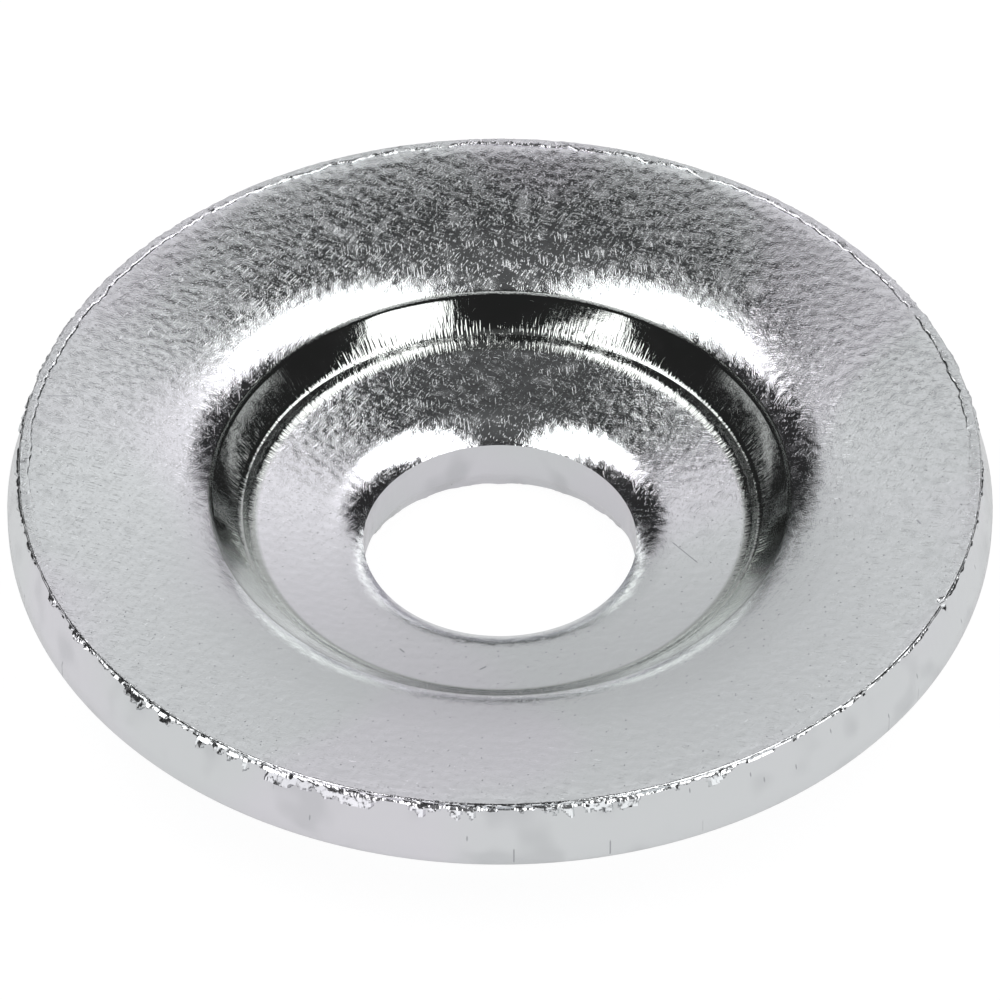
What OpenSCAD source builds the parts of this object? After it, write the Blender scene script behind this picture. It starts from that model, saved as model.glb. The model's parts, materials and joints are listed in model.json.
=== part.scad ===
// Curved washer, blanked and pierced from steel sheet, pressed into a dish and zinc plated.
// It lies dish up: the bore runs along +Z, and the origin is on the bore's axis in the plane of the
// flat land around the bore's lower mouth, which the washer rests on.
// Slopes are in degrees below the horizontal, going inwards from the rim to the bore.

/* [Blank] */
// Thickness of the sheet
thickness = 3; // [2.5:0.1:3.5]
// Largest diameter, at the burnished band of the outer edge
outer_d = 38; // [36:0.5:46]
// Amount by which the torn upper part of the outer edge leans in, on the radius
edge_taper = 0.5; // [0.2:0.05:0.8]
// Height of the burnished band of the outer edge
edge_band_h = 0.5; // [0.2:0.1:1]
// Radius rolled over at the lower corner of the outer edge
edge_roll_r = 0.6; // [0.3:0.1:1]
// Width of the flattened burr on top of the outer edge
burr_w = 0.4; // [0.2:0.05:0.6]
// Height of the flattened burr above the rim
burr_h = 0.08; // [0.02:0.01:0.12]

/* [Bore] */
// Diameter of the bore
bore_d = 10.6; // [9:0.1:12]
// Width of the corner that the piercing punch rolled over at the top of the bore
roll_w = 1.5; // [1:0.1:1.8]
// Slope of the rolled corner where it meets the bore
roll_slope = 40; // [35:1:50]
// Height of the torn, flared lower part of the bore
flare_h = 0.8; // [0.4:0.1:1.2]
// Amount by which the torn part of the bore opens out, on the radius
flare_w = 0.35; // [0.1:0.05:0.5]
// Width of the flat land around the bore's lower mouth
land_w = 0.65; // [0.3:0.05:0.9]

/* [Dish] */
// Outer diameter of the seat around the bore
seat_d = 18.84; // [17:0.02:20]
// Slope of the seat at its inner end
seat_inner_slope = 11; // [9:0.5:11.5]
// Slope of the seat at its outer end
seat_outer_slope = 12.5; // [12:0.5:14]
// Width of the hollow ledge around the seat
ledge_w = 0.33; // [0.2:0.01:0.5]
// Slope of the ledge where it meets the seat
ledge_inner_slope = 14; // [12:1:24]
// Slope of the ledge below the lip
ledge_outer_slope = 36; // [28:1:40]
// Width of the steep lip above the ledge
lip_w = 0.2; // [0.1:0.05:0.5]
// Slope of the lip where it meets the ledge
lip_inner_slope = 47; // [46:0.5:50]
// Slope of the lip where it leaves the tread
lip_outer_slope = 44; // [40:0.5:45]
// Width of the narrow tread at the foot of the wall
tread_w = 0.1; // [0.05:0.01:0.2]
// Slope of the tread above the lip
tread_inner_slope = 22; // [18:1:23]
// Slope of the tread at the foot of the wall
tread_outer_slope = 26; // [24:1:32]
// Width of the wall that the forming punch pressed smooth
wall_w = 1.17; // [1:0.01:1.6]
// Slope of the wall at its foot
wall_foot_slope = 40.5; // [37:0.5:41]
// Slope of the wall below the crease
wall_top_slope = 43.5; // [42:0.5:48]
// Width of the small step that the forming punch left at the crease
step_w = 0.04; // [0.02:0.01:0.06]
// Slope of the small step at the crease
step_slope = 60; // [52:1:68]
// Slope of the bend where it ends at the crease
crease_slope = 38; // [35:1:42]
// Width of the tighter, inner part of the bend
knee_w = 1.4; // [1.2:0.1:1.8]
// Slope of the bend where it tightens
knee_slope = 15.5; // [13:0.5:22]
// Width of the whole bend between the crease and the rim
bend_w = 3.2; // [2.8:0.1:4]
// Slope of the rim where the bend begins
rim_inner_slope = 9; // [8:0.5:12]
// Slope of the rim at the outer edge
rim_outer_slope = 5.5; // [3:0.5:7]

/* [Underside] */
// Slope of the lower face at its steepest, below the crease
back_slope = 40; // [36:1:44]
// Slope of the lower face where its foot begins
back_foot_slope = 29; // [24:1:32]
// Width of the foot of the lower face, outside the seat
back_foot_w = 0.55; // [0.4:0.05:0.8]

/* [Hidden] */

// Turn of one straight piece of a curved stretch of the section
curve_step = 1.5;
// Turn of one straight piece of the rolled corner of the outer edge
corner_step = 10;
$fn = 180;

outer_r = outer_d / 2;
bore_r = bore_d / 2;
edge_r = outer_r - edge_taper;
rim_r = edge_r - burr_w;
seat_r = seat_d / 2;
ledge_r = seat_r + ledge_w;
lip_r = ledge_r + lip_w;
tread_r = lip_r + tread_w;
crease_r = tread_r + wall_w;
step_r = crease_r - step_w;
knee_r = crease_r + knee_w;
bend_r = crease_r + bend_w;
back_foot_r = seat_r + back_foot_w;
roll_r = bore_r + roll_w;
flare_r = bore_r + flare_w;
land_r = flare_r + land_w;

// Arcs of the upper face, from the rim in to the bore: [outer radius, its slope, inner radius, its slope]
rim_arc = [rim_r, rim_outer_slope, bend_r, rim_inner_slope];
bend_arc = [bend_r, rim_inner_slope, knee_r, knee_slope];
knee_arc = [knee_r, knee_slope, crease_r, crease_slope];
wall_arc = [step_r, wall_top_slope, tread_r, wall_foot_slope];
tread_arc = [tread_r, tread_outer_slope, lip_r, tread_inner_slope];
lip_arc = [lip_r, lip_outer_slope, ledge_r, lip_inner_slope];
ledge_arc = [ledge_r, ledge_outer_slope, seat_r, ledge_inner_slope];
seat_arc = [seat_r, seat_outer_slope, roll_r, seat_inner_slope];
roll_arc = [roll_r, seat_inner_slope, bore_r, roll_slope];

// Arcs of the lower face between the rim and the seat, as they would lie on the upper face
back_bend_arc = [bend_r, rim_inner_slope, crease_r, back_slope];
back_wall_arc = [crease_r, back_slope, back_foot_r, back_foot_slope];
back_foot_arc = [back_foot_r, back_foot_slope, seat_r, seat_outer_slope];

// Radius of an arc: positive where it is domed, negative where it is hollow
function arc_radius(arc) = (arc[0] - arc[2]) / (sin(arc[3]) - sin(arc[1]));

// Height that the face loses along an arc
function drop(arc) = arc_radius(arc) * (cos(arc[1]) - cos(arc[3]));

// Heights where the arcs of the upper face begin, with the rim's outer end at zero
bend_z = -drop(rim_arc);
knee_z = bend_z - drop(bend_arc);
crease_z = knee_z - drop(knee_arc);
step_z = crease_z - step_w * tan(step_slope);
tread_z = step_z - drop(wall_arc);
lip_z = tread_z - drop(tread_arc);
ledge_z = lip_z - drop(lip_arc);
seat_z = ledge_z - drop(ledge_arc);
roll_z = seat_z - drop(seat_arc);

// Heights where the arcs of the lower face begin
back_wall_z = bend_z - drop(back_bend_arc);
back_foot_z = back_wall_z - drop(back_wall_arc);
back_seat_z = back_foot_z - drop(back_foot_arc);

// Points along an arc whose outer end is at height z, at a depth into the sheet
function arc_points(arc, z, depth = 0) =
    let(
        radius = arc_radius(arc),
        turn = arc[3] - arc[1],
        count = max(2, ceil(abs(turn) / curve_step))
    )
    [for (i = [0 : count])
        let(slope = arc[1] + turn * i / count)
        [
            arc[0] - radius * (sin(slope) - sin(arc[1])) + depth * sin(slope),
            z - radius * (cos(arc[1]) - cos(slope)) - depth * cos(slope)
        ]];

// The same list from its other end
function reversed(points) = [for (i = [len(points) - 1 : -1 : 0]) points[i]];

// Upper face, from the flattened burr in to the bore
upper_face = concat(
    [[edge_r, burr_h], [rim_r, burr_h]],
    arc_points(rim_arc, 0),
    arc_points(bend_arc, bend_z),
    arc_points(knee_arc, knee_z),
    arc_points(wall_arc, step_z),
    arc_points(tread_arc, tread_z),
    arc_points(lip_arc, lip_z),
    arc_points(ledge_arc, ledge_z),
    arc_points(seat_arc, seat_z),
    arc_points(roll_arc, roll_z)
);

// Lower face of the pressed sheet, from the rim in to the seat
pressed_underside = concat(
    arc_points(rim_arc, 0, thickness),
    arc_points(back_bend_arc, bend_z, thickness),
    arc_points(back_wall_arc, back_wall_z, thickness),
    arc_points(back_foot_arc, back_foot_z, thickness),
    arc_points(seat_arc, back_seat_z, thickness)
);
underside_start = pressed_underside[0];
underside_end = pressed_underside[len(pressed_underside) - 1];

// The seat's underside runs on at its own slope to the flat land
land_z = underside_end[1] - (underside_end[0] - land_r) * tan(seat_inner_slope);

// The rim's underside runs on at its own slope to the rolled corner of the outer edge
corner_r = outer_r - edge_roll_r;
corner_z = underside_start[1] + (corner_r - underside_start[0]) * tan(rim_outer_slope);
rolled_corner = [for (turn = [0 : corner_step : 90])
    [corner_r + edge_roll_r * sin(turn), corner_z + edge_roll_r * (1 - cos(turn))]];

// Bore wall, from its rolled corner down to the flat land
bore_wall = [
    [bore_r, land_z + flare_h],
    [flare_r, land_z],
    [land_r, land_z]
];

// Outer edge above the rolled corner
outer_wall = [[outer_r, corner_z + edge_roll_r + edge_band_h]];

// Section of the washer through its axis
module washer_section() {
    polygon(concat(upper_face, bore_wall, reversed(pressed_underside), rolled_corner, outer_wall));
}

module washer() {
    color([0.74, 0.74, 0.77])
        translate([0, 0, -land_z])
            rotate_extrude()
                washer_section();
}

washer();
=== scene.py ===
"""A curved washer of zinc plated sheet steel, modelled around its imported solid, on a pale studio floor."""

import json
import math

import bpy
from bpy.props import FloatProperty, FloatVectorProperty, IntProperty, PointerProperty
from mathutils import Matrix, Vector, noise


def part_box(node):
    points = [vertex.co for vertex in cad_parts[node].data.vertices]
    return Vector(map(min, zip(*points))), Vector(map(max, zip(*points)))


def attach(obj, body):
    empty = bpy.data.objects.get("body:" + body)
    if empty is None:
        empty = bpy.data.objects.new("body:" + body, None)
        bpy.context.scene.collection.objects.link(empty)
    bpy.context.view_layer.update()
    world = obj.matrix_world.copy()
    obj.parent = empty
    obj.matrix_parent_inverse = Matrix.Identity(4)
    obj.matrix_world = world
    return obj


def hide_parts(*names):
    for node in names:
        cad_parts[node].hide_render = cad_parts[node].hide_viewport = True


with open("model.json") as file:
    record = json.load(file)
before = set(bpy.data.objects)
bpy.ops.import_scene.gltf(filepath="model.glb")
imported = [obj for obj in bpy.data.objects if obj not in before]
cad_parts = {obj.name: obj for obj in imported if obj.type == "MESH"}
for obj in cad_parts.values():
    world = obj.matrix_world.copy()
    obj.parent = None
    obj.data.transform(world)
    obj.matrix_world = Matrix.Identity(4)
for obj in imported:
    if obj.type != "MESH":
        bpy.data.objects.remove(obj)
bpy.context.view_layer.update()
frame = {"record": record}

bl_info = {
    "name": "Curved washer",
    "version": (1, 0, 0),
    "blender": (4, 5, 0),
    "location": "View3D > Sidebar > Washer",
    "description": "Models a pressed and zinc plated washer, its torn edges and its studio stage",
    "category": "Add Mesh",
}

MM = 0.001
FULL_TURN = 2 * math.pi

NODE = "washer"
NODE_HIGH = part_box(NODE)[1]
BORE_R = next(m["dims"]["r_mm"] for m in frame["record"]["mounts"] if m["name"] == "bore") * MM


def length(name, description, default):
    """A length in metres, given here in millimetres."""
    return FloatProperty(
        name=name, description=description, default=default * MM, unit="LENGTH", precision=6)


def degrees(name, description, default):
    """An angle, given here in degrees."""
    return FloatProperty(name=name, description=description, default=math.radians(default), subtype="ANGLE")


def level(name, description, default):
    """A plain number, such as a strength of light."""
    return FloatProperty(name=name, description=description, default=default, precision=4)


def colour(name, description, default):
    """A colour in linear light."""
    return FloatVectorProperty(
        name=name, description=description, default=default, size=3, min=0, max=1, subtype="COLOR")


class WasherSizes(bpy.types.PropertyGroup):
    """Sizes of the pressed disc and its edges. Slopes are below the horizontal, going inwards."""
    outer_r: FloatProperty(
        name="Outer radius", description="Largest radius, at the burnished band of the outer edge",
        default=NODE_HIGH[0], unit="LENGTH", precision=6)
    height: FloatProperty(
        name="Height", description="Height of the top edge over the floor",
        default=NODE_HIGH[2], unit="LENGTH", precision=6)
    bore_r: FloatProperty(
        name="Bore radius", description="Radius of the bore's straight wall",
        default=BORE_R, unit="LENGTH", precision=6)
    sheet: length("Sheet", "Thickness of the sheet", 3.0)
    edge_taper: length("Edge taper", "Lean of the torn upper part of the outer edge", 0.5)
    edge_band: length("Edge band", "Height of the burnished band of the outer edge", 0.5)
    edge_roll: length("Edge roll", "Radius rolled over at the lower corner of the outer edge", 0.6)
    burr_w: length("Burr width", "Width of the flattened burr on top of the outer edge", 0.4)
    burr_h: length("Burr height", "Height of the flattened burr above the rim", 0.08)
    roll_w: length("Bore roll", "Width of the rolled corner at the top of the bore", 1.5)
    roll_slope: degrees("Roll slope", "Slope of the rolled corner where it meets the bore", 40)
    flare_h: length("Flare height", "Height of the torn lower part of the bore", 0.8)
    flare_w: length("Flare width", "Amount by which the torn part of the bore opens out", 0.35)
    land_w: length("Land width", "Width of the flat land that the washer rests on", 0.65)
    seat_r: length("Seat radius", "Outer radius of the seat around the bore", 9.42)
    seat_inner_slope: degrees("Seat inner slope", "Slope of the seat at its inner end", 11)
    seat_outer_slope: degrees("Seat outer slope", "Slope of the seat at its outer end", 12.5)
    ledge_w: length("Ledge width", "Width of the hollow ledge around the seat", 0.33)
    ledge_inner_slope: degrees("Ledge inner slope", "Slope of the ledge where it meets the seat", 14)
    ledge_outer_slope: degrees("Ledge outer slope", "Slope of the ledge below the lip", 36)
    lip_w: length("Lip width", "Width of the steep lip above the ledge", 0.2)
    lip_inner_slope: degrees("Lip inner slope", "Slope of the lip where it meets the ledge", 47)
    lip_outer_slope: degrees("Lip outer slope", "Slope of the lip where it leaves the tread", 44)
    tread_w: length("Tread width", "Width of the narrow tread at the foot of the wall", 0.1)
    tread_inner_slope: degrees("Tread inner slope", "Slope of the tread above the lip", 22)
    tread_outer_slope: degrees("Tread outer slope", "Slope of the tread at the foot of the wall", 26)
    wall_w: length("Wall width", "Width of the wall that the punch pressed smooth", 1.17)
    wall_foot_slope: degrees("Wall foot slope", "Slope of the wall at its foot", 40.5)
    wall_top_slope: degrees("Wall top slope", "Slope of the wall below the crease", 43.5)
    step_w: length("Step width", "Width of the small step that the punch left at the crease", 0.04)
    step_slope: degrees("Step slope", "Slope of the small step at the crease", 60)
    crease_slope: degrees("Crease slope", "Slope of the bend where it ends at the crease", 38)
    knee_w: length("Knee width", "Width of the tighter, inner part of the bend", 1.4)
    knee_slope: degrees("Knee slope", "Slope of the bend where it tightens", 15.5)
    bend_w: length("Bend width", "Width of the bend between the crease and the rim", 3.2)
    rim_inner_slope: degrees("Rim inner slope", "Slope of the rim where the bend begins", 9)
    rim_outer_slope: degrees("Rim outer slope", "Slope of the rim at the outer edge", 5.5)
    back_slope: degrees("Back slope", "Slope of the sheet's lower face at its steepest", 40)
    back_foot_slope: degrees("Back foot slope", "Slope of the lower face where its foot begins", 29)
    back_foot_w: length("Back foot width", "Width of the foot of the lower face", 0.55)
    edge_round: length("Edge round", "Radius of the worn top edge", 0.08)
    torn_depth: length("Torn depth", "Height of the finely torn top part of the outer wall", 1.0)
    soft_angle: degrees("Soft angle", "Faces that meet at less than this turn look smooth", 21)
    turns: IntProperty(name="Turns", description="Faces around the washer", default=360)
    edge_turns: IntProperty(name="Edge turns", description="Faces around the torn edge", default=1440)


class WasherFinish(bpy.types.PropertyGroup):
    """Colours and grain of the plating."""
    zinc: colour("Zinc", "The plating where it is bright", (0.84, 0.83, 0.87))
    zinc_cool: colour("Cool zinc", "The plating where it has a greenish cast", (0.81, 0.83, 0.84))
    # Dull zinc in pits, nicks and on the torn edges; the same colour also paints shade on the wall inside
    # the bore.
    zinc_dull_and_shade: colour("Dull zinc and bore shade", "The plating in pits and torn metal, and painted shade inside the bore", (0.48, 0.49, 0.51))
    # Painted shade: this dark, greenish colour stands in for the shade and dark reflections that make the
    # dish's pressed wall look dark.
    pressed_wall_shade: colour("Pressed wall shade", "Painted shade on the plating of the pressed wall", (0.51, 0.53, 0.51))
    relief: length("Relief", "Depth of the plating's grain, scratches and streaks", 0.013)
    roughness: level("Roughness", "Roughness of the smooth plating", 0.10)


class StageSettings(bpy.types.PropertyGroup):
    """Camera, lamps, floor and the light of the studio around."""
    camera_distance: length("Camera distance", "From the middle of the top edge", 333.0)
    camera_elevation: degrees("Camera elevation", "Height of the camera seen from the washer", 43.74)
    camera_drop: degrees("Camera drop", "How far below the top edge the camera aims", 0.28)
    lens: level("Lens", "Focal length in millimetres", 311.9)
    sensor: level("Sensor", "Width of the camera's sensor in millimetres", 36.0)
    lamp_height: length("Lamp height", "Height of the two soft lamps", 400.0)
    lamp_strength: level("Lamp strength", "Radiance of the soft lamps", 2.6)
    room: level("Room", "Light from the dark room around", 0.025)
    backdrop_foot: level("Backdrop foot", "Light from the backdrop's foot", 0.515)
    backdrop_rise: level("Backdrop rise", "How much lighter the backdrop is towards the top", 1.03)
    front_panel: level("Front panel", "Light from the low panel in front", 1.1)
    overhead: level("Overhead", "Light from the ceiling", 0.065)
    side_strip: level("Side strips", "Light from the slanted strips at the sides", 0.8)
    floor: colour("Floor", "The pale floor", (0.86, 0.86, 0.87))


# Single nicks and scratches seen in the plating: two ends and a half width, in millimetres from the axis.
NICKS = (
    ((-3.85, -6.88), (-3.62, -7.19), 0.05),
    ((-0.80, -8.12), (-0.49, -7.85), 0.05),
    ((6.65, -0.85), (7.63, -2.27), 0.03),
    ((-13.62, 5.10), (-13.40, 4.90), 0.05),
    ((15.90, -3.10), (16.08, -3.42), 0.05),
    ((-17.63, 3.55), (-16.36, 3.69), 0.03),
    ((4.37, 15.69), (4.44, 14.39), 0.04),
)

# Layers of noise around a ring: each layer's weight, the size of its features in millimetres, and its seed.
BURR_WANDER = ((0.10, 1.1, 1), (0.07, 0.3, 2))
BURR_WEAR = ((1.0, 2.2, 3), (0.5, 0.5, 4))
FLAKE_ENDS = ((1.0, 0.9, 5), (0.7, 0.25, 6))
GROOVE_GAPS = ((1.0, 1.3, 7), (0.4, 0.3, 9))
WALL_RIPPLE = ((0.012, 0.25, 8),)
BORE_FRAY = ((1.0, 0.6, 11), (0.6, 0.2, 12))
SEED_STEP = 7.3

# Stretches of the outer edge: start and end in degrees from the front, going to the right, and their fade.
WORN_FRONT = (-75, 85, 20)
FLAKED_FRONT = (-48, 24, 6)
FLAKED_LEFT = (-180, -60, 20)
GROOVED_FRONT = (-60, 40, 15)
DEEP_GROOVES = ((-16, -11, 3), (-7, 3, 3))
NOTCH_ANGLE = 65

# What shearing and tumbling left on the edges: sizes of single forms.
LUMP_SIZE = 0.16 * MM
LUMP_H = 0.014 * MM
CRUMPLE_SIZE = 0.2 * MM
CRUMPLE_H = 0.04 * MM
FLAKE_MIN = 0.10 * MM
FLAKE_MORE = 0.46 * MM
FLAKE_LEAN = 0.4
GROOVE_DEPTH = 0.13 * MM
NOTCH_W = 0.13 * MM
NOTCH_IN = 0.16 * MM
NOTCH_DOWN = 0.10 * MM
NOTCH_H = 0.5 * MM
FRAY_W = 0.09 * MM
FRAY_H = 0.3 * MM
# How far the burr is worn down in places that aren't at the front.
PATCH_WEAR = 0.65
# Share of the burr's width that its domed inner side takes.
DOME_SHARE = 0.4
# Width over which one face of the outer edge gives way to the next.
SEAM = 0.02 * MM
# How much closer together the rows of the torn wall are at its top.
ROW_POWER = 1.7

# Height where the bore's wall ends and its rolled corner begins, in millimetres.
BORE_TOP_MM = 2.4

# Panels of the studio: left and right edge and top, in degrees.
BACKDROP = (-31, 40, 50.5)
FRONT_PANEL = (-60, 60, 28)
# Soft lamps: edges to the left and right, in front and behind, in lamp heights.
LAMPS = ((-0.78, -0.28, -0.62, 0.58), (0.30, 0.84, -0.74, 0.64))


def linear(start, end, count):
    """Evenly spaced numbers from start to end, both included."""
    return [start + (end - start) * i / count for i in range(count + 1)]


class Section:
    """The washer's section: chains of arcs. A run is an arc from one radius and slope in to another."""

    def __init__(self, sizes):
        self.sizes = sizes
        edge_r = sizes.outer_r - sizes.edge_taper
        rim_r = edge_r - sizes.burr_w
        ledge_r = sizes.seat_r + sizes.ledge_w
        lip_r = ledge_r + sizes.lip_w
        tread_r = lip_r + sizes.tread_w
        crease_r = tread_r + sizes.wall_w
        step_r = crease_r - sizes.step_w
        knee_r = crease_r + sizes.knee_w
        bend_r = crease_r + sizes.bend_w
        roll_r = sizes.bore_r + sizes.roll_w
        back_foot_r = sizes.seat_r + sizes.back_foot_w
        rim = (rim_r, sizes.rim_outer_slope, bend_r, sizes.rim_inner_slope)
        seat = (sizes.seat_r, sizes.seat_outer_slope, roll_r, sizes.seat_inner_slope)
        self.edge_r = edge_r
        self.rim_r = rim_r
        self.crease_r = crease_r
        self.tread_r = tread_r
        self.rim_z = sizes.height - sizes.burr_h
        self.top = self.chain({
            "rim": rim,
            "bend": (bend_r, sizes.rim_inner_slope, knee_r, sizes.knee_slope),
            "knee": (knee_r, sizes.knee_slope, crease_r, sizes.crease_slope),
            "step": (crease_r, sizes.step_slope, step_r, sizes.step_slope - 0.001),
            "wall": (step_r, sizes.wall_top_slope, tread_r, sizes.wall_foot_slope),
            "tread": (tread_r, sizes.tread_outer_slope, lip_r, sizes.tread_inner_slope),
            "lip": (lip_r, sizes.lip_outer_slope, ledge_r, sizes.lip_inner_slope),
            "ledge": (ledge_r, sizes.ledge_outer_slope, sizes.seat_r, sizes.ledge_inner_slope),
            "seat": seat,
            "roll": (roll_r, sizes.seat_inner_slope, sizes.bore_r, sizes.roll_slope),
        })
        self.back = self.chain({
            "rim": rim,
            "bend": (bend_r, sizes.rim_inner_slope, crease_r, sizes.back_slope),
            "wall": (crease_r, sizes.back_slope, back_foot_r, sizes.back_foot_slope),
            "foot": (back_foot_r, sizes.back_foot_slope, sizes.seat_r, sizes.seat_outer_slope),
            "seat": seat,
        })

    def chain(self, runs):
        """Adds to each run its arc's radius and the height it starts at."""
        z = self.rim_z
        made = {}
        for name, (outer_r, outer_slope, inner_r, inner_slope) in runs.items():
            radius = (outer_r - inner_r) / (math.sin(inner_slope) - math.sin(outer_slope))
            made[name] = (outer_r, outer_slope, inner_slope, radius, z)
            z -= radius * (math.cos(outer_slope) - math.cos(inner_slope))
        return made

    def points(self, run, count, depth=0.0, first=0.0):
        """Points along one run, from its outer end, at a depth into the sheet."""
        outer_r, outer_slope, inner_slope, radius, z = run
        made = []
        for share in linear(first, 1.0, count):
            turn = outer_slope + (inner_slope - outer_slope) * share
            r = outer_r - radius * (math.sin(turn) - math.sin(outer_slope)) + depth * math.sin(turn)
            made.append((r, z - radius * (math.cos(outer_slope) - math.cos(turn)) - depth * math.cos(turn)))
        return made

    def upper_face(self):
        """Points of the upper face inside the torn edge, from the rim in to the bore."""
        top = self.top
        return (
            self.points(top["rim"], 8, first=0.04)
            + self.points(top["bend"], 12)[1:]
            + self.points(top["knee"], 16)[1:]
            + self.points(top["step"], 1)[1:]
            + self.points(top["wall"], 10)[1:]
            + self.points(top["tread"], 2)[1:]
            + self.points(top["lip"], 2)[1:]
            + self.points(top["ledge"], 6)[1:]
            + self.points(top["seat"], 12)[1:]
            + self.points(top["roll"], 18)[1:]
        )

    def bore_wall(self):
        """Points down the bore and across the flat land."""
        sizes = self.sizes
        flare_r = sizes.bore_r + sizes.flare_w
        top = self.points(self.top["roll"], 1)[-1][1]
        straight = [(sizes.bore_r, z) for z in linear(top, sizes.flare_h, 8)[1:]]
        torn = [(sizes.bore_r + sizes.flare_w * s, sizes.flare_h * (1 - s)) for s in linear(0, 1, 6)[1:]]
        return straight + torn + [(flare_r + sizes.land_w * s, 0.0) for s in linear(0, 1, 3)[1:]]

    def underside(self):
        """Points of the lower face, from the seat out to the rolled corner of the outer edge."""
        sheet = self.sizes.sheet
        back = self.back
        inwards = (
            self.points(back["rim"], 4, sheet)
            + self.points(back["bend"], 12, sheet)[1:]
            + self.points(back["wall"], 6, sheet)[1:]
            + self.points(back["foot"], 6, sheet)[1:]
            + self.points(back["seat"], 4, sheet)[1:]
        )
        return inwards[::-1]

    def corner(self):
        """The rolled lower corner of the outer edge, and its burnished band."""
        sizes = self.sizes
        roll = sizes.edge_roll
        low = self.underside()[-1]
        centre_r = sizes.outer_r - roll
        low_z = low[1] + (centre_r - low[0]) * math.tan(sizes.rim_outer_slope)
        rolled = [(centre_r + roll * math.sin(t), low_z + roll * (1 - math.cos(t)))
                  for t in linear(0, math.pi / 2, 10)]
        self.band_top = rolled[-1][1] + sizes.edge_band
        return rolled + [(sizes.outer_r, z) for z in linear(rolled[-1][1], self.band_top, 4)[1:]]

    def wall_r(self, z):
        """Radius of the torn part of the outer wall at a height."""
        sizes = self.sizes
        share = (z - self.band_top) / (sizes.height - self.band_top)
        return sizes.outer_r - sizes.edge_taper * share


def new_mesh_vertex(name, point):
    """Starts a mesh with one vertex, in edit mode."""
    bpy.ops.object.select_all(action="DESELECT")
    bpy.ops.mesh.primitive_plane_add(size=MM, location=(point[0], 0, point[1]))
    piece = bpy.context.object
    piece.name = name
    piece.data.name = name
    bpy.ops.object.transform_apply(location=True, rotation=True, scale=True)
    bpy.ops.object.mode_set(mode="EDIT")
    bpy.ops.mesh.select_all(action="SELECT")
    bpy.ops.mesh.merge(type="CENTER")
    return piece


def ragged(angle, radius, layers):
    """Noise around a ring of a radius, from layers of noise."""
    total = 0.0
    for weight, size, seed in layers:
        turn = radius / (size * MM)
        place = Vector((turn * math.cos(angle), turn * math.sin(angle), seed * SEED_STEP))
        total += weight * noise.noise(place)
    return total


def ease(value, low, high):
    """0 at low, 1 at high, smooth between."""
    share = min(max((value - low) / (high - low), 0.0), 1.0)
    return share * share * (3 - 2 * share)


def sector(angle, start, end, fade):
    """1 between two angles in degrees from the front, fading outside them."""
    turn = math.degrees(angle)
    return ease(turn, start - fade, start) * ease(turn, end + fade, end)


class EdgePoint:
    """A place on the spun edge: around the washer, and on the edge's section."""

    def __init__(self, place, section):
        self.place = place
        self.r = math.hypot(place.x, place.y)
        self.out = Vector((place.x / self.r, place.y / self.r, 0))
        self.angle = math.atan2(place.x, -place.y)
        self.depth = section.sizes.height - place.z
        self.on_wall = ease(self.r, section.edge_r - SEAM, section.edge_r)


def burr_move(point, section):
    """The burr's inner side wanders. In places, and all along the front, it is worn down to the rim."""
    sizes = section.sizes
    r = point.r
    angle = point.angle
    rim_r = section.rim_r
    dome_r = rim_r + DOME_SHARE * sizes.burr_w
    corner_r = section.edge_r - sizes.edge_round
    on_strip = ease(r, rim_r - 0.1 * MM, rim_r - SEAM)

    on_dome = ease(r, rim_r - 0.13 * MM, rim_r) * ease(r, section.edge_r - SEAM, dome_r)
    move = point.out * ragged(angle, r, BURR_WANDER) * MM * on_dome

    worn = ease(ragged(angle, section.edge_r, BURR_WEAR), 0.1, 0.5)
    worn = max(worn * PATCH_WEAR, sector(angle, *WORN_FRONT))
    worn_z = section.rim_z + max(min(r, corner_r) - rim_r, 0) * math.tan(sizes.rim_outer_slope)
    whole_z = point.place.z if r <= corner_r + 0.001 * MM else sizes.height
    move.z += on_strip * worn * (worn_z - whole_z) * ease(point.depth, sizes.torn_depth, 0.3 * MM)
    lumps = (noise.noise(point.place / LUMP_SIZE) - 1) * LUMP_H
    move.z += on_strip * (1 - point.on_wall) * (1 - 0.9 * worn) * lumps
    return move


def flake_move(point, section):
    """Below the edge, the wall has thin bright flakes, mostly at the front, and a fine ripple."""
    r = point.r
    angle = point.angle
    depth = point.depth
    torn = max(sector(angle, *FLAKED_FRONT), 0.5 * sector(angle, *FLAKED_LEFT), 0.25)
    reach = (FLAKE_MIN + FLAKE_MORE * ease(ragged(angle, r, FLAKE_ENDS), -0.4, 0.45)) * torn
    flake = ease(depth, reach + 0.05 * MM, reach) * ease(depth, 0.08 * MM, 0.12 * MM)
    crumple = noise.noise(point.place / CRUMPLE_SIZE) * CRUMPLE_H
    ripple = ragged(angle, r, WALL_RIPPLE) * MM * ease(depth, section.sizes.torn_depth, 0.6 * MM)
    return point.out * point.on_wall * (flake * (FLAKE_LEAN * depth + crumple) + ripple)


def groove_move(point):
    """Above the flakes at the front, a dark groove comes and goes."""
    angle = point.angle
    gap = ease(ragged(angle, point.r, GROOVE_GAPS), -0.1, 0.15) * sector(angle, *GROOVED_FRONT)
    gap = max(gap, *(sector(angle, *stretch) for stretch in DEEP_GROOVES))
    groove = ease(point.depth, 0.05 * MM, 0.09 * MM) * ease(point.depth, 0.23 * MM, 0.15 * MM)
    return -point.out * point.on_wall * GROOVE_DEPTH * groove * gap


def notch_move(point, section):
    """One deep notch at the front right."""
    across = (point.angle - math.radians(NOTCH_ANGLE)) * point.r / NOTCH_W
    notch = math.exp(-across * across) * ease(point.r, section.edge_r - 0.3 * MM, section.edge_r)
    cut = notch * ease(point.depth, NOTCH_H, 0.1 * MM)
    return -(point.out * NOTCH_IN + Vector((0, 0, NOTCH_DOWN))) * cut


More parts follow.
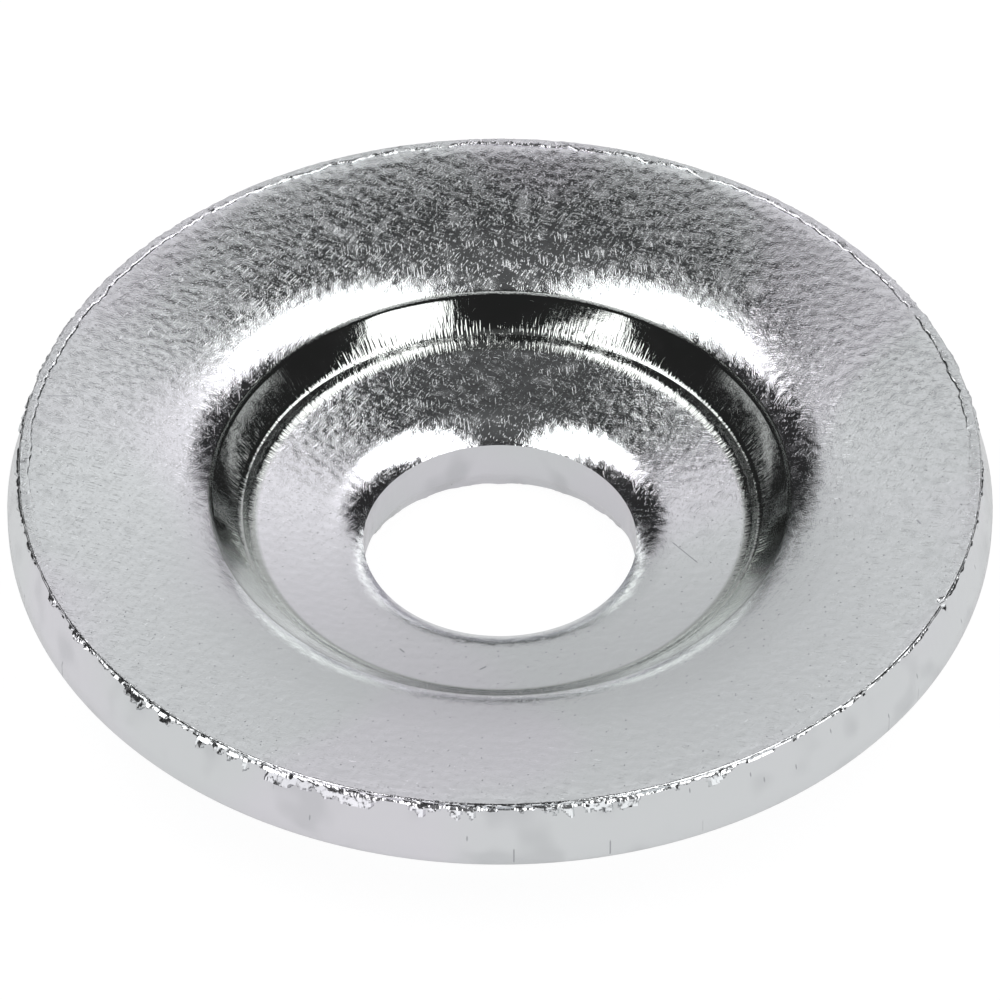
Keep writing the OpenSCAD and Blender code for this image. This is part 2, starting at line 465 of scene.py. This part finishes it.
def tear_edge(edge, section):
    """Roughens the spun edge: a ragged flattened burr on top, flakes and a groove on the wall, a notch."""
    for vert in edge.data.vertices:
        point = EdgePoint(vert.co.copy(), section)
        move = burr_move(point, section) + flake_move(point, section)
        vert.co += move + groove_move(point) + notch_move(point, section)
    edge.data.update()


def fray_bore(body, sizes):
    """Frays the lower edge of the bore, where the piercing punch broke through."""
    flare_r = sizes.bore_r + sizes.flare_w
    for vert in body.data.vertices:
        r = math.hypot(vert.co.x, vert.co.y)
        near = ease(r, flare_r + 0.15 * MM, flare_r) * ease(vert.co.z, FRAY_H, 0.0)
        burr = max(ragged(math.atan2(vert.co.x, -vert.co.y), flare_r, BORE_FRAY), 0.0)
        out = Vector((vert.co.x / r, vert.co.y / r, 0))
        vert.co -= out * FRAY_W * burr * near
    body.data.update()


def activate(piece):
    """Makes one object the only selected one, and the active one."""
    bpy.ops.object.select_all(action="DESELECT")
    piece.select_set(True)
    bpy.context.view_layer.objects.active = piece


def spin_section(name, points, turns):
    """Draws a section by extruding a vertex along it, and turns it around the bore's axis."""
    piece = new_mesh_vertex(name, points[0])
    for (r, z), (next_r, next_z) in zip(points, points[1:]):
        bpy.ops.mesh.extrude_region_move(TRANSFORM_OT_translate={"value": (next_r - r, 0, next_z - z)})
    bpy.ops.object.mode_set(mode="OBJECT")
    screw = piece.modifiers.new("turn", "SCREW")
    screw.axis = "Z"
    screw.angle = FULL_TURN
    screw.steps = turns
    screw.render_steps = turns
    screw.use_merge_vertices = True
    screw.merge_threshold = 0.0005 * MM
    bpy.ops.object.modifier_apply(modifier=screw.name)
    return piece


def sew(body, edge, ratio):
    """Joins two spun pieces at their open rings, where the second has more faces around it."""
    activate(body)
    bpy.ops.object.mode_set(mode="EDIT")
    bpy.ops.mesh.select_all(action="DESELECT")
    bpy.ops.mesh.select_non_manifold(extend=False)
    bpy.ops.mesh.subdivide(number_cuts=ratio - 1)
    bpy.ops.object.mode_set(mode="OBJECT")
    activate(body)
    edge.select_set(True)
    bpy.ops.object.join()
    bpy.ops.object.mode_set(mode="EDIT")
    bpy.ops.mesh.select_all(action="DESELECT")
    bpy.ops.mesh.select_non_manifold(extend=False)
    bpy.ops.mesh.remove_doubles(threshold=0.002 * MM)
    bpy.ops.mesh.select_all(action="SELECT")
    bpy.ops.mesh.normals_make_consistent(inside=False)
    bpy.ops.object.mode_set(mode="OBJECT")


class Wire:
    """A node's output. Python's operators on it add Math nodes."""

    def __init__(self, tree, socket):
        self.tree = tree
        self.socket = socket

    def math(self, operation, *operands):
        node = self.tree.nodes.new("ShaderNodeMath")
        node.operation = operation
        for place, operand in enumerate(operands):
            plug(self.tree, node.inputs[place], operand)
        return Wire(self.tree, node.outputs[0])

    def __add__(self, other):
        return self.math("ADD", self, other)

    def __radd__(self, other):
        return self.math("ADD", other, self)

    def __sub__(self, other):
        return self.math("SUBTRACT", self, other)

    def __rsub__(self, other):
        return self.math("SUBTRACT", other, self)

    def __mul__(self, other):
        return self.math("MULTIPLY", self, other)

    def __rmul__(self, other):
        return self.math("MULTIPLY", other, self)

    def __truediv__(self, other):
        return self.math("DIVIDE", self, other)

    def __rtruediv__(self, other):
        return self.math("DIVIDE", other, self)

    def __pow__(self, other):
        return self.math("POWER", self, other)


def plug(tree, socket, value):
    """Links a wire to a socket, or sets the socket's own value."""
    if isinstance(value, Wire):
        tree.links.new(value.socket, socket)
    else:
        socket.default_value = value


class Board:
    """The node tree of one material or of the world."""

    def __init__(self, owner):
        owner.use_nodes = True
        self.tree = owner.node_tree
        self.tree.nodes.clear()

    def node(self, kind, settings=None, inputs=None, output=0):
        """Adds a node of any type: its settings first, then its sockets. Gives one of its outputs."""
        made = self.tree.nodes.new(kind)
        for key, value in (settings or {}).items():
            setattr(made, key, value)
        for key, value in (inputs or {}).items():
            plug(self.tree, made.inputs[key], value)
        return Wire(self.tree, made.outputs[output]) if made.outputs else None

    def between(self, value, low, high):
        """0 below low, 1 above high, and a smooth rise between them."""
        return self.node(
            "ShaderNodeMapRange", {"interpolation_type": "SMOOTHSTEP"},
            {"Value": value, "From Min": low, "From Max": high})

    def panel(self, azimuth, z, left, right, top):
        """1 on a panel that stands between two azimuths and reaches up to an elevation, in degrees."""
        sides = self.between(azimuth, math.radians(left - 4), math.radians(left + 4)) * self.between(
            azimuth, math.radians(right + 4), math.radians(right - 4))
        return sides * self.between(z, math.sin(math.radians(top + 3)), math.sin(math.radians(top - 3)))

    def split(self, vector):
        """The three parts of a vector."""
        made = self.tree.nodes.new("ShaderNodeSeparateXYZ")
        plug(self.tree, made.inputs[0], vector)
        return [Wire(self.tree, socket) for socket in made.outputs]

    def cells(self, place, scale, share):
        """Distance from the middle of the nearest of scattered cells, and 1 in a share of the cells."""
        made = self.tree.nodes.new("ShaderNodeTexVoronoi")
        made.voronoi_dimensions = "2D"
        plug(self.tree, made.inputs["Vector"], place)
        plug(self.tree, made.inputs["Scale"], scale)
        tint = Wire(self.tree, made.outputs["Color"])
        chance = self.node("ShaderNodeSeparateColor", {}, {"Color": tint})
        near = Wire(self.tree, made.outputs["Distance"])
        return near, self.between(chance, 1 - share, 1.02 - share)

    def noise(self, place, scale, detail=1.0):
        """Noise at so many features to the millimetre."""
        return self.node(
            "ShaderNodeTexNoise", {},
            {"Vector": place, "Scale": scale, "Detail": detail, "Roughness": 0.6})

    def blend(self, share, first, second):
        """A colour between two others."""
        made = self.tree.nodes.new("ShaderNodeMix")
        made.data_type = "RGBA"
        plug(self.tree, made.inputs[0], share)
        plug(self.tree, made.inputs[6], first if isinstance(first, Wire) else (*first, 1))
        plug(self.tree, made.inputs[7], second if isinstance(second, Wire) else (*second, 1))
        return Wire(self.tree, made.outputs[2])


def strokes(board, place, turn, share, along, across):
    """Short scratches in one direction, so many to the millimetre along and across: 1 in a scratch."""
    turned = board.node(
        "ShaderNodeVectorRotate", {"rotation_type": "Z_AXIS"},
        {"Vector": place, "Angle": math.radians(turn)})
    drawn = board.node(
        "ShaderNodeVectorMath", {"operation": "MULTIPLY"}, {0: turned, 1: (along, across, 0.0)})
    near, chosen = board.cells(drawn, 1.0, share)
    return board.between(near, 0.28, 0.08) * chosen


def mark(board, x, y, start, end, width):
    """1 along one straight scratch between two places seen from above, in millimetres."""
    long = math.dist(start, end)
    way_x = (end[0] - start[0]) / long
    way_y = (end[1] - start[1]) / long
    along = (x - start[0]) * way_x + (y - start[1]) * way_y
    across = (x - start[0]) * way_y - (y - start[1]) * way_x
    near = board.between(across * across, width ** 2, 0.1 * width ** 2)
    return near * board.between(along, 0, 0.1) * board.between(along, long, long - 0.1)


def pits(board, place, scale, size, share):
    """Small round pits: 1 in each, on a share of the places."""
    near, chosen = board.cells(place, scale, share)
    return board.between(near, size * scale, 0.4 * size * scale) * chosen


def zinc_plate(finish, sizes, section):
    """Bright zinc over tumbled steel: fine dimples, a smooth pressed wall and torn edges."""
    material = bpy.data.materials.new("zinc_plate")
    board = Board(material)
    local = board.node("ShaderNodeTexCoord", {}, {}, "Object")
    place = board.node("ShaderNodeVectorMath", {"operation": "SCALE"}, {0: local, "Scale": 1 / MM})
    flat = board.node("ShaderNodeVectorMath", {"operation": "MULTIPLY"}, {0: place, 1: (1, 1, 0)})
    radius = board.node("ShaderNodeVectorMath", {"operation": "LENGTH"}, {0: flat}, "Value")

    # Parts of the section, by their radius in millimetres.
    crease_mm = section.crease_r / MM
    tread_mm = section.tread_r / MM
    edge_mm = section.edge_r / MM
    seat_mm = sizes.seat_r / MM
    above_tread = board.between(radius, tread_mm - 0.1, tread_mm)
    wall = above_tread * board.between(radius, crease_mm + 0.05, crease_mm)
    outside_seat = board.between(radius, seat_mm - 0.1, seat_mm + 0.1)
    foot = outside_seat * board.between(radius, tread_mm + 0.7, tread_mm)
    step = board.between(radius, crease_mm - 0.08, crease_mm - 0.04) * board.between(
        radius, crease_mm + 0.03, crease_mm)
    seat = board.between(radius, tread_mm, tread_mm - 0.3)
    x, y, z = board.split(place)
    flare_mm = (sizes.bore_r + sizes.flare_w) / MM
    inside = board.between(radius, flare_mm + 0.06, flare_mm + 0.01) * board.between(
        z, BORE_TOP_MM + 0.1, BORE_TOP_MM - 0.1)
    outside = board.between(radius, edge_mm - 0.03, edge_mm + 0.01)
    sides = outside + inside
    burr = board.between(radius, edge_mm - 0.5, edge_mm - 0.35) * (1 - sides) * board.between(y, -9, -2)
    grain = 1 - wall * 0.85 - seat * 0.25 - sides * 0.85 + burr * 0.8

    # Dimples and soft waves of the tumbled face, fine scratches and pits over them.
    dimples = board.noise(place, 18.0)
    waves = board.noise(place, 3.0, 0.0)
    scratches = sum(strokes(board, place, turn, 0.2, 1.0, 14.0) for turn in (12, 84, 126))
    flecks = sum(strokes(board, place, turn, 0.36, 4.0, 22.0) for turn in (28, 118))
    pitted = pits(board, place, 1.7, 0.04, 0.3)

    # Streaks drawn down the wall by the punch, and down the sheared edges.
    round_way = board.node("ShaderNodeVectorMath", {"operation": "NORMALIZE"}, {0: flat})
    rings = board.node("ShaderNodeVectorMath", {"operation": "SCALE"}, {0: round_way, "Scale": crease_mm})
    down = board.node("ShaderNodeCombineXYZ", {}, {"Z": radius * 0.22})
    drawn = board.node("ShaderNodeVectorMath", {"operation": "ADD"}, {0: rings, 1: down})
    streaks = board.noise(drawn, 9.0)
    upright = board.node("ShaderNodeVectorMath", {"operation": "MULTIPLY"}, {0: place, 1: (6.0, 6.0, 0.25)})
    shears = board.noise(upright, 1.0)

    # A few single nicks and scratches.
    nicks = sum(mark(board, x, y, start, end, width) for start, end, width in NICKS)

    height = (
        (dimples - 0.5) * (grain * 0.42 + step * 0.8)
        + (waves - 0.5) * (1 - wall * 0.85) * 0.9
        + (streaks - 0.5) * (wall * 0.2 + foot * 1.3)
        + (shears - 0.5) * sides * 2.0
        - scratches * grain * 0.16
        - flecks * grain * 0.13
        - pitted * grain * 0.4
    )
    bump = board.node(
        "ShaderNodeBump", {}, {"Strength": 1.0, "Distance": finish.relief, "Height": height})

    cast = board.noise(place, 0.12, 0.0)
    clean = board.blend(board.between(cast, 0.4, 0.6), finish.zinc, finish.zinc_cool)
    blotches = board.between(board.noise(place, 0.5), 0.5, 0.75)
    # Pits, nicks and blotches on the sheared sides are dull zinc; inside * 0.18 is painted shade that
    # darkens the whole wall inside the bore.
    dull_and_shade = pitted + nicks * 0.9 + blotches * sides * 0.3 + inside * 0.18
    marked_and_shaded = board.blend(dull_and_shade, clean, finish.zinc_dull_and_shade)
    # Painted shade: the pressed wall, from the seat out to the crease, is darkened most of the way towards
    # its dark shade colour.
    pressed = outside_seat * board.between(radius, crease_mm + 0.1, crease_mm)
    tint = board.blend(pressed * 0.9, marked_and_shaded, finish.pressed_wall_shade)
    patches = board.between(board.noise(place, 1.7), 0.45, 0.75)
    roughness = finish.roughness + patches * grain * 0.17 - wall * 0.04 + sides * 0.08 + step * 0.05
    shader = board.node(
        "ShaderNodeBsdfPrincipled", {},
        {"Base Color": tint, "Metallic": 1.0, "Roughness": roughness, "Normal": bump})
    board.node("ShaderNodeOutputMaterial", {}, {"Surface": shader})
    return material


class WASHER_OT_body(bpy.types.Operator):
    """Spins the washer's section, tears its edges and plates it"""
    bl_idname = "washer.body"
    bl_label = "Washer body"

    def execute(self, context):
        sizes = context.scene.washer_sizes
        section = Section(sizes)
        corner = section.corner()
        top = sizes.height
        round_r = sizes.edge_round

        # The body: from the outer wall, under and through the bore, up to the rim.
        fine_z = top - sizes.torn_depth
        low_wall = [(section.wall_r(z), z) for z in linear(section.band_top, fine_z, 6)[1:]]
        lower = section.bore_wall() + section.underside() + corner + low_wall
        body_points = section.upper_face() + lower
        body = spin_section("washer_plated", body_points, sizes.turns)
        fray_bore(body, sizes)

        # The torn edge: from the rim over the flattened burr and down the top of the outer wall.
        rim_r = section.rim_r
        rim_z = section.rim_z
        dome_w = DOME_SHARE * sizes.burr_w
        dome_h = top - rim_z
        strip = [body_points[0], (rim_r - SEAM, rim_z)]
        strip += [(rim_r + dome_w * (1 - math.cos(t)), rim_z + dome_h * math.sin(t))
                  for t in linear(0, math.pi / 2, 6)]
        strip += [(r, top) for r in linear(rim_r + dome_w, section.edge_r - round_r, 3)[1:]]
        rounded = [(section.edge_r - round_r * (1 - math.sin(t)), top - round_r * (1 - math.cos(t)))
                   for t in linear(0, math.pi / 2, 4)[1:]]
        wall_z = rounded[-1][1]
        wall_heights = [wall_z + (fine_z - wall_z) * share ** ROW_POWER for share in linear(0, 1, 12)[1:]]
        edge_points = strip + rounded + [(section.wall_r(z), z) for z in wall_heights]
        edge = spin_section("torn_edge", edge_points, sizes.edge_turns)

        tear_edge(edge, section)
        sew(body, edge, sizes.edge_turns // sizes.turns)
        bpy.ops.object.shade_smooth_by_angle(angle=sizes.soft_angle)

        body.data.materials.clear()
        body.data.materials.append(zinc_plate(context.scene.washer_finish, sizes, section))
        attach(body, "root")
        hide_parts(NODE)
        return {"FINISHED"}


def studio_world(settings):
    """White to the camera; to the metal, a pale backdrop behind, a low one in front, and dark sides."""
    world = bpy.data.worlds.new("studio")
    bpy.context.scene.world = world
    board = Board(world)
    way = board.node("ShaderNodeTexCoord", {}, {}, "Generated")
    x, y, z = board.split(way)
    azimuth = x.math("ARCTAN2", x, y)
    front_azimuth = x.math("ARCTAN2", x, 0 - y)
    aside = x.math("ABSOLUTE", azimuth)

    # The backdrop is lighter higher up and to the sides, and dark low down at its ends.
    rising = settings.backdrop_foot + z ** 4 * settings.backdrop_rise
    sideways = 1 + azimuth * 0.22 + azimuth * azimuth * 0.6
    low_side = board.between(z, 0.15, 0.09) * board.between(aside, math.radians(13), math.radians(20))
    backdrop = board.panel(azimuth, z, *BACKDROP) * rising * sideways * (1 - low_side * 0.75)
    front = board.panel(front_azimuth, z, *FRONT_PANEL) * settings.front_panel
    overhead = board.between(z, 0.82, 0.95) * settings.overhead

    # A thin slanting strip of light stands on either side.
    slant = z - 0.355 - (aside - math.radians(68)) * 0.48
    reach = board.between(aside, math.radians(46), math.radians(56)) * board.between(
        aside, math.radians(90), math.radians(80))
    strip = board.between(slant, -0.013, -0.006) * board.between(slant, 0.013, 0.006) * reach

    light = settings.room + backdrop + front + overhead + strip * settings.side_strip
    seen = board.node("ShaderNodeLightPath", {}, {}, "Is Camera Ray")
    studio = board.node("ShaderNodeBackground", {}, {"Color": (0.985, 0.99, 1.0, 1), "Strength": light})
    white = board.node("ShaderNodeBackground", {}, {"Color": (1, 1, 1, 1), "Strength": 1.0})
    mixed = board.node("ShaderNodeMixShader", {}, {0: seen, 1: studio, 2: white})
    board.node("ShaderNodeOutputWorld", {}, {"Surface": mixed})


def floor_paint(settings):
    """Pale floor that keeps the washer's shadow."""
    material = bpy.data.materials.new("pale_floor")
    board = Board(material)
    seen = board.node("ShaderNodeLightPath", {}, {}, "Is Camera Ray")
    mirrored = board.node("ShaderNodeLightPath", {}, {}, "Is Glossy Ray")
    paint = board.node("ShaderNodeBsdfDiffuse", {}, {"Color": (*settings.floor, 1)})
    white = board.node("ShaderNodeEmission", {}, {"Color": (1, 1, 1, 1), "Strength": 0.8 + seen * 0.3})
    shown = board.node("ShaderNodeMixShader", {}, {0: seen * 0.85 + mirrored * 0.6, 1: paint, 2: white})
    board.node("ShaderNodeOutputMaterial", {}, {"Surface": shown})
    return material


class WASHER_OT_stage(bpy.types.Operator):
    """Sets the floor, the lamps, the surroundings and the camera"""
    bl_idname = "washer.stage"
    bl_label = "Stage"

    def execute(self, context):
        scene = context.scene
        settings = scene.washer_stage
        sizes = scene.washer_sizes
        scene.view_settings.view_transform = "Standard"

        bpy.ops.object.select_all(action="DESELECT")
        bpy.ops.mesh.primitive_plane_add(size=6.0, location=(0, 0, -0.02 * MM))
        floor = context.object
        floor.name = "floor"
        floor.data.materials.append(floor_paint(settings))

        height = settings.lamp_height
        for left, right, front, back in LAMPS:
            light = bpy.data.lights.new("soft_lamp", "AREA")
            light.shape = "RECTANGLE"
            light.size = (right - left) * height
            light.size_y = (back - front) * height
            light.energy = settings.lamp_strength * math.pi * light.size * light.size_y
            lamp = bpy.data.objects.new("soft_lamp", light)
            lamp.location = ((left + right) / 2 * height, (front + back) / 2 * height, height)
            lamp.visible_camera = False
            scene.collection.objects.link(lamp)

        studio_world(settings)

        camera = bpy.data.cameras.new("camera")
        camera.lens = settings.lens
        camera.sensor_width = settings.sensor
        camera.clip_start = 0.01
        camera.clip_end = 20
        eye = bpy.data.objects.new("camera", camera)
        elevation = settings.camera_elevation
        distance = settings.camera_distance
        middle = Vector((0, 0, sizes.height))
        eye.location = middle + distance * Vector((0, -math.cos(elevation), math.sin(elevation)))
        eye.rotation_euler = (math.pi / 2 - elevation - settings.camera_drop, 0, 0)
        scene.collection.objects.link(eye)
        scene.camera = eye
        return {"FINISHED"}


class WASHER_PT_panel(bpy.types.Panel):
    """Buttons that model the washer and set its stage"""
    bl_label = "Curved washer"
    bl_idname = "WASHER_PT_panel"
    bl_space_type = "VIEW_3D"
    bl_region_type = "UI"
    bl_category = "Washer"

    def draw(self, context):
        for operator in (WASHER_OT_body, WASHER_OT_stage):
            self.layout.operator(operator.bl_idname)


CLASSES = (WasherSizes, WasherFinish, StageSettings, WASHER_OT_body, WASHER_OT_stage, WASHER_PT_panel)


def register():
    for cls in CLASSES:
        bpy.utils.register_class(cls)
    bpy.types.Scene.washer_sizes = PointerProperty(type=WasherSizes)
    bpy.types.Scene.washer_finish = PointerProperty(type=WasherFinish)
    bpy.types.Scene.washer_stage = PointerProperty(type=StageSettings)


def unregister():
    del bpy.types.Scene.washer_stage
    del bpy.types.Scene.washer_finish
    del bpy.types.Scene.washer_sizes
    for cls in reversed(CLASSES):
        bpy.utils.unregister_class(cls)


def main():
    register()
    bpy.ops.washer.body()
    bpy.ops.washer.stage()


if __name__ == "__main__":
    main()
